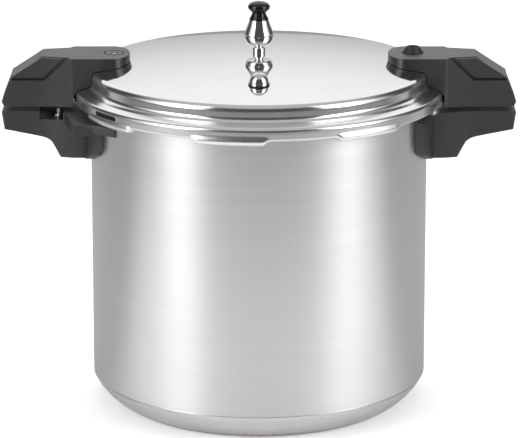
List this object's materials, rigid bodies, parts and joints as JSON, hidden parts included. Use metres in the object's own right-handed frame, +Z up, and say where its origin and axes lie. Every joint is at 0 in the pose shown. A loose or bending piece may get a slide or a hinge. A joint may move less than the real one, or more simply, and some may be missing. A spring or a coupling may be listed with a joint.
{
  "type": "pressure canner",
  "caption": "Tall aluminium pressure canner with a lugged twist-lock domed lid, moulded side handles, a weight on the vent tube and a perforated jar rack.",
  "frame": {"origin": "centre of the pot's base, on the surface it stands on", "axes": "+Z up along the axis of the pot; the handles lie along X; -Y is the side with the relief valve cap"},
  "size_m": [0.4848, 0.3504, 0.3862],
  "materials": {
    "brushed_aluminium": "brushed wall with a machined bevel at the base",
    "polished_aluminium": "polished",
    "rack_aluminium": "satin",
    "rivet_aluminium": "satin",
    "phenolic": "moulded, low sheen with a fine grain",
    "knob_plastic": "glossy black",
    "black_rubber": "smooth rubber",
    "chrome": "chrome plated",
    "plated_steel": "zinc plated"
  },
  "bodies": {
    "pot": {"pot": "brushed_aluminium", "pot_handle_left": "phenolic", "pot_handle_right": "phenolic", "pot_bracket_left": "plated_steel", "pot_bracket_right": "plated_steel", "pot_bracket_rivets": "rivet_aluminium", "pot_handle_screws": "plated_steel", "pot_handle_nuts": "plated_steel"},
    "lid": {"lid": "polished_aluminium", "gasket": "black_rubber", "lid_handle_left": "phenolic", "lid_handle_right": "phenolic", "lid_bracket_left": "plated_steel", "lid_bracket_right": "plated_steel", "lid_bracket_rivets": "rivet_aluminium", "lid_handle_screws": "plated_steel", "lid_handle_nuts": "plated_steel", "vent_tube": "chrome", "vent_washer": "black_rubber", "vent_nut": "plated_steel", "relief_cap": "chrome", "relief_seal": "black_rubber", "relief_nut": "plated_steel", "overpressure_plug": "black_rubber", "interlock_bush": "plated_steel"},
    "weight": {"weight_body": "chrome", "weight_knob": "knob_plastic", "weight_screw": "plated_steel"},
    "interlock": {"interlock_pin": "chrome", "interlock_clip": "plated_steel"},
    "rack": {"canning_rack": "rack_aluminium"}
  },
  "joints": [
    {"name": "lid_turn", "type": "hinge", "parent": "pot", "child": "lid", "pos_m": [0, 0, 0.3], "axis": [0, 0, 1], "range_deg": [0, 22.5]},
    {"name": "weight_lift", "type": "slide", "parent": "lid", "child": "weight", "axis": [0, 0, 1], "range_m": [0, 0.045]},
    {"name": "interlock_rise", "type": "slide", "parent": "lid", "child": "interlock", "axis": [0, 0, 1], "range_m": [0, 0.004]},
    {"name": "rack_lift", "type": "slide", "parent": "pot", "child": "rack", "axis": [0, 0, 1], "range_m": [0, 0.24]}
  ]
}
